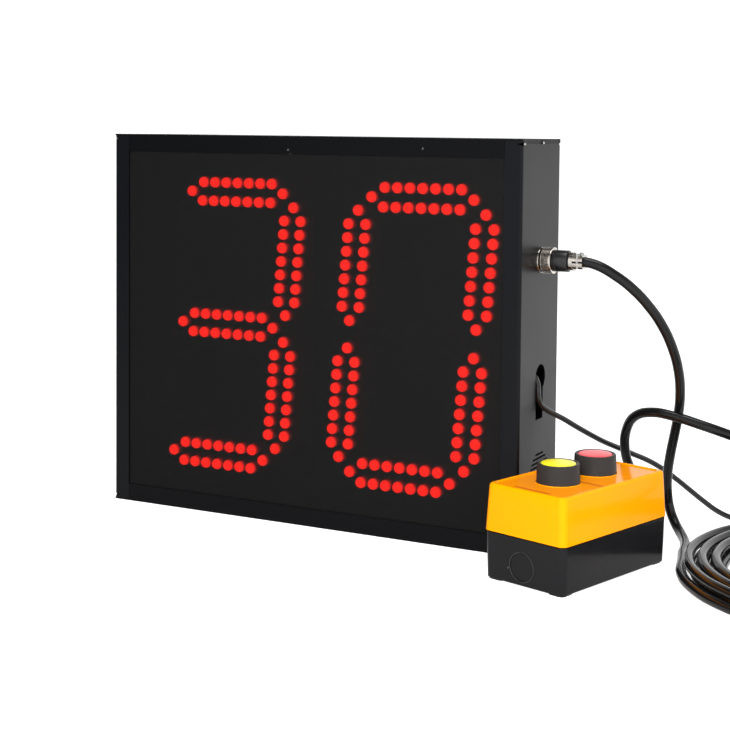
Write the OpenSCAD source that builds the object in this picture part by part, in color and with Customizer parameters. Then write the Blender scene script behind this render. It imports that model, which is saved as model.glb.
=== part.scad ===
// Shot clock: a folded steel display with two large lamp digits, and a wired two-button control station.
// The origin is the middle of the display's underside. +X is to its right, +Y to its back, +Z up.

/* [Display case] */
// Width of the display
case_w = 336; // [330:1:350]
// Height of the display
case_h = 282; // [278:1:300]
// Depth of the display, back cover included
case_d = 72; // [68:1:84]
// Thickness of the folded steel
sheet = 1.2; // [1:0.1:1.6]
// Width of the frame round the window
frame_w = 13; // [11:0.5:14]
// Outer radius of the folds
fold_r = 1.8; // [1.7:0.1:2.4]
// Thickness of the smoked window
window_t = 3; // [2:0.5:4]

/* [Digits] */
// Distance between neighbouring lamps
led_pitch = 10; // [9:0.1:10]
// Distance between the two rows of a segment
row_gap = 14; // [12:0.5:15]
// Lamp diameter
led_d = 8; // [6:0.5:8.5]
// Height of a digit between the middles of its top and bottom segments
digit_h = 200; // [190:1:200]
// Width of a digit between the middles of its upright segments
digit_w = 100; // [94:1:100]
// Distance between the middles of the two digits
digit_gap = 154; // [152:1:158]
// Sideways lean of the digits per unit of height
lean = 0.081; // [0:0.001:0.09]

/* [Control station] */
// Length of the control station
station_l = 114; // [110:1:120]
// Width of the control station
station_w = 64; // [60:1:70]
// Height of the control station
station_h = 62; // [60:1:66]
// Height of the black base
base_h = 31; // [28:1:33]
// Wall thickness of both mouldings
station_wall = 2.5; // [2:0.1:3]
// Distance between the buttons
button_gap = 40; // [40:1:44]
// Diameter of the button caps
cap_d = 23; // [21:0.5:23]
// Travel of the buttons
button_travel = 4; // [3:0.5:4]

/* [Cables] */
// Diameter of the control cable
cable_d = 7; // [6:0.5:7]
// Diameter of the power lead
lead_d = 4; // [3:0.5:4]

/* [Hidden] */

// Display, derived. The case is drawn with y = 0 at its front and moved back over the origin.
half_w = case_w / 2;
mid_z = case_h / 2;
digit_z = mid_z - 1.7;            // middle of the digits and of their boards
rear_y = case_d - sheet;          // inner face of the back cover
rail_half = half_w - frame_w - 0.2;
cover_half = half_w - fold_r + 0.2;   // the back cover stays behind the folds
skirt_h = 3;                      // short side flange of the caps
relief_r = 1.3;                   // bend relief holes at the corners
board_w = 146;
board_h = 232;
board_t = 1.6;
board_y = 22;                     // front face of the lamp boards
board_back = board_y + board_t;
lamp_h = 8;
ctrl_x = 22;                      // lower corner of the controller board nearest the middle
ctrl_z = 152;
ctrl_w = 112;
ctrl_h = 80;
ctrl_y = 60;

// Features of the right panel, as (y, z) from the middle of the case
socket_yz = [0, case_h - 83.3];
slot_yz = [2, 117];
slot_r = 9;
slot_y0 = -6;
slot_y1 = 7;
slot_z0 = 88;
grille_yz = [2, 46];
grille_r = 19;
grille_pitch = 2.9;
grille_slit = 1.4;
socket_tail = 14;                 // depth of the socket behind the panel
plug_l = 22;                      // reach of the plug in front of it

// Screw places on the back, as (x, z)
side_screws_z = [24, mid_z, case_h - 24];
cap_screw_z = 6;
back_screws = [
    for (x = [-half_w + 6, half_w - 6], z = side_screws_z) [x, z],
    [0, cap_screw_z], [0, case_h - cap_screw_z]
];
post_places = [
    for (x = [-digit_gap / 2, digit_gap / 2], u = [-67, 67], v = [-111, 111]) [x + u, digit_z + v]];

// Control station, derived
station_at = [227.5, -107, 0];
station_turn = 73.3;
cover_z = base_h + 0.8;           // a gasket lies between base and cover
foot_h = 1;
top_recess = 0.8;
ceiling_z = station_h - 3.2;
cap_top = station_h + 12;
barrel_r = 11;
barrel_z = 38;
head_z = cap_top - 6;
stem_z = 44.5;
spring_z = 33.1;
block_z = 33;
gland_z = 17;
gland_seat = station_l - 0.4;
gland_end = station_l + 20;
cable_stop = gland_end - 5.9;     // the cable's end inside the gland
knockout_z = 13;
post_uv = [for (x = [9, station_l - 9], y = [9, station_w - 9]) [x, y]];
button_u = [station_l / 2 - button_gap / 2, station_l / 2 + button_gap / 2];
button_v = station_w / 2 + 1;

function unit(v) = v / norm(v);
function last(p) = p[len(p) - 1];
function station_point(u, v, z) = station_at + [
    u * cos(station_turn) - v * sin(station_turn), u * sin(station_turn) + v * cos(station_turn), z];

function arc(x, y, r, a0, a1, n = 4) =
    [for (i = [0 : n]) [x + r * cos(a0 + (a1 - a0) * i / n), y + r * sin(a0 + (a1 - a0) * i / n)]];
function rounded(x0, y0, x1, y1, r) = concat(
    arc(x1 - r, y0 + r, r, -90, 0), arc(x1 - r, y1 - r, r, 0, 90),
    arc(x0 + r, y1 - r, r, 90, 180), arc(x0 + r, y0 + r, r, 180, 270));

// Points of a round two-layer coil: it spirals in, climbs over half a turn and spirals out again
function coil_points(at, r, pitch, turns, start, rise, per_turn = 24) =
    let (count = round(turns * per_turn))
    [for (i = [0 : count])
        let (
            t = turns * i / count,
            rr = r - pitch * min(t, turns - t),
            c = min(1, max(0, (t - turns / 2) * 2 + 0.5)),
            a = start + 360 * t
        )
        at + [rr * cos(a), rr * sin(a), rise * c * c * (3 - 2 * c)]];

// Adds a straight end of the given length on both sides
function straight_ends(p, l) = concat(
    [p[0] - l * unit(p[1] - p[0])], p, [last(p) + l * unit(last(p) - p[len(p) - 2])]);

// Least distance between the surfaces of turns that lie beside or on each other
function least_gap(points, d, apart = 8) =
    let (n = len(points))
    min([for (i = [0 : n - 1], j = [i + apart : 1 : n - 1]) norm(points[i] - points[j])]) - d;

function heading(p, i) =
    i == 0 ? unit(p[1] - p[0]) :
    i == len(p) - 1 ? unit(p[i] - p[i - 1]) :
    unit(unit(p[i + 1] - p[i]) + unit(p[i] - p[i - 1]));

// Side vectors carried along the route without twist
function sides_along(t) =
    let (first = unit(cross(t[0], abs(t[0][2]) > 0.9 ? [1, 0, 0] : [0, 0, 1])))
    [for (i = 0, s = first; i < len(t);
        i = i + 1, s = i < len(t) ? unit(s - (s * t[i]) * t[i]) : s) s];

// Control cable: down from the plug, round its coil on the table, and over an arch to the station
control_coil = straight_ends(coil_points([392, 14, 3.6], 121, 9, 6.62, 187, cable_d + 0.5), 8);
drop_route = concat([
    [half_w + plug_l, 0, socket_yz[1]], [200, 0, socket_yz[1]], [209.5, 0.8, 196.5], [220.5, 3, 190.5],
    [231.5, 6.5, 182], [241.5, 11.5, 170.5], [249.5, 17.5, 157], [255, 24, 141.5], [257.6, 31, 125],
    [257, 38.5, 108], [253.8, 46, 91.5], [249, 53.5, 75], [244.2, 60.5, 58.5], [240.8, 66.5, 43],
    [239.8, 70.5, 29.5], [241.8, 71, 18], [246.5, 67.5, 9.8], [252.5, 60.5, 5.2], [258, 50.5, 3.8],
    [262.3, 39.5, 3.6], [265.3, 28, 3.6]
], [control_coil[0] - 8 * unit(control_coil[1] - control_coil[0]), control_coil[0]]);
coil_end_dir = unit(last(control_coil) - control_coil[len(control_coil) - 2]);
return_route = concat([last(control_coil), last(control_coil) + 8 * coil_end_dir], [
    [450.5, 127, 13], [437.5, 131.5, 17], [423, 130.5, 22.5], [408, 122.5, 29], [391.5, 110, 36.5],
    [374, 95.5, 44.5], [356, 80.5, 53], [337.5, 66, 62], [317, 52.5, 71.5], [295, 42.5, 80.5],
    [273, 37, 87.5], [253.5, 36, 92], [237, 38.5, 92.8], [223.5, 43.5, 88], [215.2, 50, 76.5],
    [212.3, 56, 62], [213.2, 61.5, 50], [217.5, 66, 39.5], [224.5, 67.5, 30.5], [231.5, 64.5, 23.5],
    [236.8, 58.5, 19.3], [239.6, 51, 17.4], [239.3, 43.8, 17]
], [for (u = [gland_end + 7, gland_end, cable_stop]) station_point(u, station_w / 2, gland_z)]);

// Power lead: from its clip through the slot, behind the station and on to its own small coil
lead_coil = straight_ends(coil_points([312, 180, 2.1], 36, 4.7, 7.111, -60, lead_d + 0.5), 5);
lead_route = concat([
    [half_w - 14, -3, 119], [half_w - 8, -3, 119], [half_w - 3, -3, 118], [half_w - 0.4, -3, 114.3],
    [half_w + 0.4, -3, 109], [half_w + 0.6, -2.7, 103.5], [half_w + 1.4, -1.2, 98.8],
    [half_w + 3.6, 2.5, 95.2], [half_w + 6.8, 8, 91.6], [179.4, 17, 86.6], [185, 28.5, 79.6],
    [191, 40.5, 72.5], [197.5, 53, 65.5], [204.5, 65, 59.5], [212.5, 76, 53.5], [220.5, 85.5, 48],
    [228.5, 93.5, 41.5], [236.5, 100.5, 33.8], [245, 107, 25.3], [254.5, 112.5, 16.5],
    [265, 117, 8.5], [276.5, 121.5, 3.6], [289.5, 127.5, 2.1], [304.5, 134.5, 2.1]
], [lead_coil[0] - 7 * unit(lead_coil[1] - lead_coil[0]), lead_coil[0]]);
plug_dir = unit(last(lead_coil) - lead_coil[len(lead_coil) - 2]);

echo(control_coil_gap = least_gap(control_coil, cable_d), lead_coil_gap = least_gap(lead_coil, lead_d));

// A tube swept along points, closed at both ends
module tube(points, d, sides) {
    n = len(points);
    t = [for (i = [0 : n - 1]) heading(points, i)];
    s = sides_along(t);
    rim = [for (i = [0 : n - 1], k = [0 : sides - 1])
        let (a = 360 * (k + 0.5) / sides, up = cross(t[i], s[i]))
        points[i] + d / 2 * (cos(a) * s[i] + sin(a) * up)];
    wall = [for (i = [0 : n - 2], k = [0 : sides - 1])
        let (a = i * sides + k, b = i * sides + (k + 1) % sides)
        each [[a, b + sides, b], [a, a + sides, b + sides]]];
    far = (n - 1) * sides;
    near_end = [for (k = [1 : sides - 2]) [0, k, k + 1]];
    far_end = [for (k = [1 : sides - 2]) [far, far + k + 1, far + k]];
    polyhedron(rim, concat(wall, near_end, far_end), convexity = 8);
}

// A wire of straight lengths with ball joints
module wire(points, d) {
    for (i = [1 : len(points) - 1]) {
        v = points[i] - points[i - 1];
        translate(points[i - 1]) rotate([0, acos(v[2] / norm(v)), atan2(v[1], v[0])])
            cylinder(d = d, h = norm(v), $fn = 24);
        if (i < len(points) - 1) translate(points[i]) sphere(d = 1.25 * d, $fn = 24);
    }
}

module in_case() {
    translate([0, -case_d / 2, 0]) children();
}

// Places children whose +Z looks out of the right panel
module on_right(yz) {
    translate([half_w, yz[0], yz[1]]) rotate([0, 90, 0]) children();
}

// Places children on the back of the case, +Z looking forward
module on_back(places, y) {
    in_case() for (p = places) translate([p[0], y, p[1]]) rotate([90, 0, 0]) children();
}

// Places children in the control station: x along its length, y across it, z up
module in_station() {
    translate(station_at) rotate([0, 0, station_turn]) children();
}

module side_profile() {
    inner_r = fold_r - sheet;
    polygon(concat(
        [[half_w - frame_w, 0]],
        arc(half_w - fold_r, fold_r, fold_r, -90, 0),
        arc(half_w - fold_r, rear_y - fold_r, fold_r, 0, 90),
        [[half_w - 12, rear_y], [half_w - 12, rear_y - sheet]],
        arc(half_w - fold_r, rear_y - fold_r, inner_r, 90, 0),
        arc(half_w - fold_r, fold_r, inner_r, 0, -90),
        [[half_w - frame_w, sheet]]));
}

// Folded side: front stile, outer wall and rear flange, cut back at both ends for the caps' flanges
module side_shell() {
    in_case() difference() {
        translate([0, 0, sheet + 0.05]) linear_extrude(case_h - 2 * sheet - 0.1) side_profile();
        for (z = [-1, case_h - skirt_h - 0.1])
            translate([half_w - sheet - 0.1, 2 * fold_r, z])
                cube([2 * sheet, rear_y - 4 * fold_r, skirt_h + 1.1]);
        for (y = [sheet, rear_y - sheet], z = [skirt_h + 0.4, case_h - skirt_h - 0.4])
            translate([half_w - 3 * sheet, y, z]) rotate([0, 90, 0])
                cylinder(r = relief_r, h = 4 * sheet, $fn = 24);
        for (z = side_screws_z)
            translate([half_w - 6, rear_y + 1, z]) rotate([90, 0, 0])
                cylinder(d = 3.4, h = sheet + 2, $fn = 24);
    }
}

module left_side_panel() {
    color("#1c1d20") mirror([1, 0, 0]) side_shell();
}

// Round grille of level slits
module grille_slits() {
    rows = floor(grille_r / grille_pitch);
    for (i = [-rows : rows]) {
        up = i * grille_pitch;
        half = sqrt(grille_r * grille_r - up * up) - 0.6;
        translate([half_w - 3 * sheet, grille_yz[0] - half, grille_yz[1] + up - grille_slit / 2])
            cube([4 * sheet, 2 * half, grille_slit]);
    }
}

module right_side_panel() {
    color("#5a5a5c") difference() {
        side_shell();
        on_right(socket_yz) translate([0, 0, -3 * sheet]) cylinder(d = 16, h = 4 * sheet, $fn = 64);
        on_right(slot_yz) translate([0, 0, -3 * sheet]) cylinder(r = slot_r, h = 4 * sheet, $fn = 48);
        translate([half_w - 3 * sheet, slot_y0, slot_z0])
            cube([4 * sheet, slot_y1 - slot_y0, slot_yz[1] - slot_z0]);
        grille_slits();
    }
}

// Folded cap, drawn as the top one with its outer face at z = 0: plate, front rail between the
// stiles, short side flanges with a clinch bump, and a rear flange
module cap_shell() {
    in_case() difference() {
        union() {
            translate([0, 0, -sheet]) linear_extrude(sheet)
                polygon(rounded(-half_w, 0, half_w, rear_y, 0.5));
            for (y = [0, rear_y - sheet])
                translate([-rail_half, y, -frame_w]) cube([2 * rail_half, sheet, frame_w - sheet / 2]);
            for (x = [-half_w, half_w - sheet])
                translate([x, 2 * fold_r + 0.4, -skirt_h])
                    cube([sheet, rear_y - 4 * fold_r - 0.8, skirt_h - sheet / 2]);
            for (side = [-1, 1])
                translate([side * (half_w - 0.1), case_d / 2, -skirt_h / 2]) rotate([0, side * 90, 0])
                    cylinder(r1 = 1.2, r2 = 0.7, h = 0.45, $fn = 24);
        }
        translate([0, rear_y + 1, -cap_screw_z]) rotate([90, 0, 0])
            cylinder(d = 3.4, h = sheet + 2, $fn = 24);
    }
}

module top_cap() {
    color("#17181b") translate([0, 0, case_h]) cap_shell();
}

module bottom_cap() {
    color("#17181b") mirror([0, 0, 1]) cap_shell();
}

module back_cover() {
    color("#222326") difference() {
        on_back([[0, 0]], case_d) linear_extrude(sheet)
            polygon(rounded(-cover_half, 0.1, cover_half, case_h - 0.1, 3));
        on_back(back_screws, case_d + 1) cylinder(d = 4.3, h = sheet + 2, $fn = 32);
    }
}

module back_cover_screws() {
    color("#b9bbbd") on_back(back_screws, case_d) {
        cylinder(d = 3.2, h = 6, $fn = 24);
        translate([0, 0, -2]) difference() {
            cylinder(d1 = 5.2, d2 = 7.2, h = 2, $fn = 32);
            translate([0, 0, -0.5]) cylinder(d = 2.4, h = 1.4, $fn = 6);
        }
    }
}

module smoked_window() {
    w = half_w - sheet - 2;
    color("#202124") in_case() translate([-w, sheet, 4.5]) cube([2 * w, window_t, case_h - 9]);
}

// Lamp board of one digit, held at its four corners
module led_board(x) {
    color("#10251a") difference() {
        in_case() translate([x - board_w / 2, board_y, digit_z - board_h / 2])
            cube([board_w, board_t, board_h]);
        on_back(post_places, board_back + 1) cylinder(d = 3.2, h = board_t + 2, $fn = 24);
    }
}

module tens_led_board() led_board(-digit_gap / 2);
module units_led_board() led_board(digit_gap / 2);

// One lamp: flange, straight body and dome, looking forward
module lamp() {
    r = led_d / 2;
    rotate([90, 0, 0]) rotate_extrude($fn = 32) polygon(concat(
        [[0, 0], [r + 0.5, 0], [r + 0.5, 0.9], [r, 0.9]], arc(0, lamp_h - r, r, 0, 90, 6)));
}

// Lamp places of a flat segment: two rows of seven and one lamp at each end
flat_segment = concat(
    [for (i = [-3 : 3], s = [-1, 1]) [i * led_pitch, s * row_gap / 2]],
    [[-4 * led_pitch, 0], [4 * led_pitch, 0]]);
upright_segment = [for (p = flat_segment) [p[1], p[0]]];

// Segments a to g as (sideways, upward, lamp places), in halves of the digit's size
segments = [
    [0, 1, flat_segment], [1, 0.5, upright_segment], [1, -0.5, upright_segment], [0, -1, flat_segment],
    [-1, -0.5, upright_segment], [-1, 0.5, upright_segment], [0, 0, flat_segment]
];

module digit_segment(x, k, lit) {
    color(lit ? "#ff2a1e" : "#3a1512") in_case() for (p = segments[k][2]) {
        u = segments[k][0] * digit_w / 2 + p[0];
        v = segments[k][1] * digit_h / 2 + p[1];
        translate([x + u + lean * v, board_y, digit_z + v]) lamp();
    }
}

// The tens digit shows 3 and the units digit shows 0
module tens_segment(k) digit_segment(-digit_gap / 2, k, k != 4 && k != 5);
module units_segment(k) digit_segment(digit_gap / 2, k, k != 6);

module board_posts() {
    l = rear_y - board_back;
    color("#c9b26a") {
        on_back(post_places, rear_y) difference() {
            cylinder(d = 6.5, h = l, $fn = 32);
            translate([0, 0, l - 9]) cylinder(d = 3, h = 10, $fn = 24);
        }
        on_back([for (u = [5, ctrl_w - 5], v = [5, ctrl_h - 5]) [ctrl_x + u, ctrl_z + v]], rear_y)
            cylinder(d = 6, h = rear_y - ctrl_y - board_t, $fn = 32);
    }
}

module board_screws() {
    color("#b9bbbd") on_back(post_places, board_y) {
        translate([0, 0, -7]) cylinder(d = 2.8, h = 7.1, $fn = 24);
        cylinder(d1 = 5.6, d2 = 4.6, h = 2, $fn = 32);
    }
}

module controller_board() {
    color("#123a24") in_case() translate([ctrl_x, ctrl_y, ctrl_z]) cube([ctrl_w, board_t, ctrl_h]);
}

// Processor, drivers, regulator, capacitors, terminals and the two ribbon headers
module controller_parts() {
    color("#26282b") in_case() translate([ctrl_x, ctrl_y, ctrl_z]) {
        translate([30, -3, 30]) cube([28, 3, 12]);
        for (i = [0 : 3]) translate([14 + 15 * i, -2.2, 52]) cube([10, 2.2, 7]);
        translate([72, -9, 24]) cube([16, 9, 16]);
        for (x = [5, 94]) translate([x, -9, 32]) cube([6, 9, 18]);
        for (i = [0 : 2]) translate([78 + 12 * i, 0, 62]) rotate([90, 0, 0])
            cylinder(d = 10, h = 16, $fn = 32);
        for (i = [0 : 2]) translate([14 + 20 * i, -10, 8]) cube([16, 10, 9]);
    }
}

// Wires from socket, power lead and sounder to the terminals, and ribbons to the two lamp boards
module display_wiring() {
    terminal_y = ctrl_y - 5;
    low_terminal = [ctrl_z - 1, ctrl_z + 8];
    color("#8a8d90") in_case() {
        wire([[half_w - socket_tail, case_d / 2, socket_yz[1]], [145, 36, 198.7], [134, 42, 184],
            [124, 44, 175], [74, 44, 175], [64, terminal_y, 176], [64, terminal_y, ctrl_z + 17]], 3);
        wire([[half_w - 14, case_d / 2 - 3, 119], [147, 33, 119], [136, 52, 122], [126, 66, 128],
            [92, 66, 142], [84, terminal_y, low_terminal[0]], [84, terminal_y, low_terminal[1]]], 3);
        wire([[half_w - sheet - 14, case_d / 2 + 2, 46], [146, 38, 46], [138, 54, 50], [132, 67, 62],
            [60, 67, 130], [46, 66, 142], [44, terminal_y, low_terminal[0]],
            [44, terminal_y, low_terminal[1]]], 2);
        for (b = [[27, 46, 33, 51], [29.6, 38, 30.4, 47], [-43.4, 37.6, 30.4, 38.4],
            [-43.4, 28, -42.6, 38], [-46, board_back, -40, 29], [116, 46, 122, 51],
            [118.6, 28, 119.4, 47], [116, board_back, 122, 29]])
            translate([b[0], b[1], ctrl_z + 33]) cube([b[2] - b[0], b[3] - b[1], 16]);
    }
}

// Sounder behind the grille: frame, magnet and cone in one turned body
module buzzer() {
    color("#2a2b2d") on_right(grille_yz) translate([0, 0, -sheet]) rotate([180, 0, 0])
        rotate_extrude($fn = 64) polygon([
            [17.5, 0], [21, 0], [21, 1.6], [18.5, 3.2], [15, 8], [11, 8.6], [11, 14], [0, 14], [0, 11],
            [3, 11], [4, 9.4], [16.4, 3]]);
}

// Panel half of the round connector: flange and nose outside, contact insert with four pins within
module panel_socket() {
    color("#c4c6c8") on_right(socket_yz) {
        rotate_extrude($fn = 64) polygon([
            [0, -socket_tail], [6.2, -socket_tail], [6.2, -9], [7.9, -9], [7.9, 0.05], [9, 0.05], [9, 1.3],
            [8.5, 1.7], [7.9, 1.7], [7.9, 9], [6.6, 9], [6.6, 3], [0, 3]]);
        for (i = [0 : 3]) rotate([0, 0, 45 + 90 * i]) translate([3.4, 0, 2.9])
            cylinder(d = 1.4, h = 4.6, $fn = 24);
    }
}

module socket_nut() {
    color("#c4c6c8") on_right(socket_yz) translate([0, 0, -sheet - 2.6]) difference() {
        cylinder(d = 21, h = 2.6, $fn = 6);
        translate([0, 0, -1]) cylinder(d = 16, h = 5, $fn = 64);
    }
}

// Cable half of the connector: contact insert in front, black barrel behind
module plug_body() {
    color("#1a1a1b") on_right(socket_yz) difference() {
        rotate_extrude($fn = 64) polygon([
            [0, 3.3], [6.3, 3.3], [6.3, 10.3], [7.1, 10.3], [7.5, 10.8], [7.5, 20.4], [7.1, 21],
            [5.4, 21], [5.4, plug_l], [0, plug_l]]);
        for (i = [0 : 3]) rotate([0, 0, 45 + 90 * i]) translate([3.4, 0, 3])
            cylinder(d = 1.6, h = 5.5, $fn = 24);
    }
}

// Knurled ring that draws the plug onto the socket
module coupling_ring() {
    color("#d2d4d6") on_right(socket_yz) difference() {
        rotate_extrude($fn = 64) polygon([
            [8.05, 2], [8.9, 2], [9.2, 2.4], [9.2, 9.4], [8.7, 10], [6.6, 10], [6.6, 9.3], [8.05, 9.3]]);
        for (i = [0 : 23]) rotate([0, 0, 15 * i]) translate([9.5, 0, 3.2])
            cylinder(d = 1.1, h = 5.2, $fn = 24);
    }
}

// Two saddles that grip the cable behind the barrel
module cable_clamp() {
    color("#b4b6b8") on_right(socket_yz) difference() {
        translate([0, 0, plug_l]) cylinder(d = 13, h = 10, $fn = 48);
        translate([0, 0, plug_l - 1]) cylinder(d = cable_d + 0.1, h = 12, $fn = 48);
        translate([-0.6, -8, plug_l - 1]) cube([1.2, 16, 12]);
        for (x = [-9.4, 4.4]) translate([x, -8, plug_l + 3]) cube([5, 16, 8]);
        for (y = [-5, 5]) translate([-8, y, plug_l + 6]) rotate([0, 90, 0])
            cylinder(d = 2.1, h = 16, $fn = 24);
    }
}

module clamp_screws() {
    color("#d2d4d6") on_right(socket_yz) for (y = [-5, 5]) translate([0, y, plug_l + 6]) rotate([0, 90, 0]) {
        translate([0, 0, -4.4]) cylinder(d = 2, h = 8.6, $fn = 24);
        translate([0, 0, -6]) cylinder(d1 = 3, d2 = 3.6, h = 1.6, $fn = 32);
    }
}

// Clip inside the right panel that holds the power lead
module lead_clip() {
    color("#1c1d1f") translate(lead_route[0] + [0.5, 0, 0]) difference() {
        union() {
            rotate([0, 90, 0]) cylinder(d = 9, h = 5.5, $fn = 32);
            translate([0, -4.5, 0]) cube([5.5, 9, 11]);
            translate([0, -4.5, 9]) cube([13.5 - sheet, 9, 3]);
        }
        translate([-1, 0, 0]) rotate([0, 90, 0]) cylinder(d = lead_d + 0.6, h = 11, $fn = 32);
    }
}

module power_lead() {
    color("#141415") tube(lead_route, lead_d, 8);
}

module power_lead_coil() {
    color("#141415") tube(lead_coil, lead_d, 6);
}

// Low-voltage barrel plug beside the lead's coil, its tip on the table
module power_plug() {
    color("#19191a") translate(last(lead_coil) + 0.2 * plug_dir)
        rotate([0, 0, atan2(plug_dir[1], plug_dir[0])])
        rotate([0, 93, 0]) difference() {
            rotate_extrude($fn = 32) polygon([
                [0, 0], [2.6, 0], [3.3, 10], [5, 13], [5, 28], [4.4, 29.5],
                [2.75, 29.5], [2.75, 39], [0, 39]]);
            translate([0, 0, 30]) cylinder(d = 2.1, h = 10, $fn = 24);
        }
}

module control_cable_drop() {
    color("#1b1b1c") tube(drop_route, cable_d, 8);
}

module control_cable_coil() {
    color("#1b1b1c") tube(control_coil, cable_d, 6);
}

module control_cable_return() {
    color("#1b1b1c") tube(return_route, cable_d, 8);
}

// Four thin corner discs of the station's outline, drawn in by inset, as (z, inset, radius)
module moulding(levels) {
    hull() for (l = levels) {
        edge = l[1] + l[2];
        for (x = [edge, station_l - edge], y = [edge, station_w - edge])
            translate([x, y, l[0]]) cylinder(r = l[2], h = 0.02, $fn = 32);
    }
}

// Black base with feet, screw posts, the gland's boss and a scored knockout on its near end
module station_base() {
    w = station_wall;
    in_station() color("#26272a") difference() {
        union() {
            difference() {
                moulding([[foot_h, 1.3, 5], [base_h - 0.02, 0.4, 5]]);
                moulding([[foot_h + w, 1.3 + w, 3], [base_h + 1, 0.4 + w, 3]]);
            }
            for (x = [2, station_l - 14], y = [2, station_w - 14])
                translate([x, y, 0]) linear_extrude(foot_h + 0.02) polygon(rounded(0, 0, 12, 12, 3));
            for (p = post_uv) translate([p[0], p[1], foot_h + 0.5])
                cylinder(d = 9, h = base_h - foot_h - 0.6, $fn = 32);
            translate([station_l - 4.6, station_w / 2, gland_z]) rotate([0, 90, 0])
                cylinder(d = 23, h = 4.2, $fn = 48);
        }
        for (p = post_uv) translate([p[0], p[1], -1]) {
            cylinder(d = 3.6, h = base_h + 2, $fn = 32);
            cylinder(d = 7, h = 5.2, $fn = 32);
        }
        translate([-1, button_v, knockout_z]) rotate([0, 90, 0]) difference() {
            cylinder(d = 18.4, h = 2.5, $fn = 48);
            translate([0, 0, -1]) cylinder(d = 17, h = 5, $fn = 48);
        }
        translate([station_l - 8, station_w / 2, gland_z]) rotate([0, 90, 0])
            cylinder(d = 16.2, h = 10, $fn = 48);
    }
}

module station_gasket() {
    in_station() color("#121213") translate([0, 0, base_h]) linear_extrude(cover_z - base_h) difference() {
        polygon(rounded(1.2, 1.2, station_l - 1.2, station_w - 1.2, 4.2));
        polygon(rounded(2.8, 2.8, station_l - 2.8, station_w - 2.8, 2.6));
    }
}

// Yellow cover: leaning walls, sunk top field, two legend strips and the button holes
module station_cover() {
    w = station_wall;
    in_station() color("#ffb400") difference() {
        union() {
            difference() {
                moulding([[cover_z, 0, 5], [station_h - 2, 1.4, 5], [station_h - 0.7, 1.9, 4.6],
                    [station_h - 0.02, 3.1, 3.6]]);
                moulding([[cover_z - 1, w, 3], [ceiling_z - 0.02, 1.4 + w, 3]]);
            }
            for (p = post_uv) translate([p[0], p[1], cover_z])
                cylinder(d = 8, h = ceiling_z + 0.5 - cover_z, $fn = 32);
        }
        translate([0, 0, station_h - top_recess]) linear_extrude(2)
            polygon(rounded(5, 5, station_l - 5, station_w - 5, 4));
        for (u = button_u) {
            translate([u - 26, button_v - 15, station_h - top_recess - 0.5]) cube([5, 30, 2]);
            translate([u, button_v, ceiling_z - 1]) cylinder(r = barrel_r + 0.15, h = 8, $fn = 64);
        }
        for (p = post_uv) translate([p[0], p[1], cover_z - 1]) cylinder(d = 3, h = 15, $fn = 24);
    }
}

module station_screws() {
    in_station() color("#b9bbbd") for (p = post_uv) translate([p[0], p[1], 1.8]) {
        cylinder(d = 5.8, h = 2.4, $fn = 32);
        cylinder(d = 2.8, h = base_h + 8, $fn = 24);
    }
}

// Gland on the far end: thread, hexagon and a grooved dome that grips the cable
module cable_gland() {
    l = gland_end - gland_seat;
    in_station() color("#1d1e20")
        translate([gland_seat, station_w / 2, gland_z]) rotate([0, 90, 0]) difference() {
        union() {
            cylinder(d = 21, h = 5, $fn = 6);
            translate([0, 0, -9]) cylinder(d = 15.9, h = 10, $fn = 48);
            rotate_extrude($fn = 48) polygon([[0, 4.9], [9.3, 4.9], [9.3, 12.5], [8.2, 16], [6, l], [0, l]]);
        }
        translate([0, 0, cable_stop - gland_seat]) cylinder(d = cable_d + 0.1, h = 8, $fn = 48);
        translate([0, 0, -10]) cylinder(d = 6, h = cable_stop - gland_seat + 11, $fn = 48);
        for (i = [0 : 11]) rotate([0, 0, 30 * i]) translate([9.7, 0, 6.2])
            cylinder(d = 1.4, h = 5.5, $fn = 24);
    }
}

module gland_nut() {
    in_station() color("#1d1e20")
        translate([station_l - 8.6, station_w / 2, gland_z]) rotate([0, 90, 0]) difference() {
            cylinder(d = 22, h = 4, $fn = 6);
            translate([0, 0, -1]) cylinder(d = 16.1, h = 6, $fn = 48);
        }
}

// Cores from the cable's end to both contact blocks
module station_wiring() {
    v = station_w / 2;
    near = button_u[0] + 11;
    far = button_u[1] + 11;
    in_station() color("#7d8083") {
        wire([[cable_stop, v - 1.4, gland_z], [far, v - 1.4, gland_z]], 2.2);
        wire([[cable_stop, v + 1.4, gland_z], [far + 9, v + 1.4, gland_z], [far + 4, v + 13, 14],
            [far, v + 19, 12], [near + 13, v + 19, 12], [near + 6, v + 8, 16], [near, v + 8, 16]], 2.2);
    }
}

// Button pieces are drawn about the button's own axis, z counted from the table
module at_button(i) {
    in_station() translate([button_u[i], button_v, 0]) children();
}

// Cap with its stem and the pin that works the contacts
module button_cap(tint) {
    r = cap_d / 2;
    color(tint) rotate_extrude($fn = 64) polygon([
        [0, 30], [2, 30], [2, stem_z], [8.4, stem_z], [8.4, head_z], [r, head_z],
        [r, cap_top - 0.5], [r - 0.5, cap_top], [0, cap_top + 0.3]]);
}

// Tapered collar over the cover, threaded barrel below it
module button_bezel() {
    seat = station_h - top_recess;
    bore = cap_d / 2 + 0.25;
    ledge = head_z - button_travel - 0.4;
    color("#2d2d2e") rotate_extrude($fn = 64) polygon([
        [8.8, barrel_z], [barrel_r, barrel_z], [barrel_r, seat], [14.4, seat], [14.4, seat + 1],
        [13.8, cap_top - 0.6], [13.2, cap_top], [bore + 0.4, cap_top], [bore, cap_top - 0.4],
        [bore, ledge], [8.8, ledge]]);
}

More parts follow.
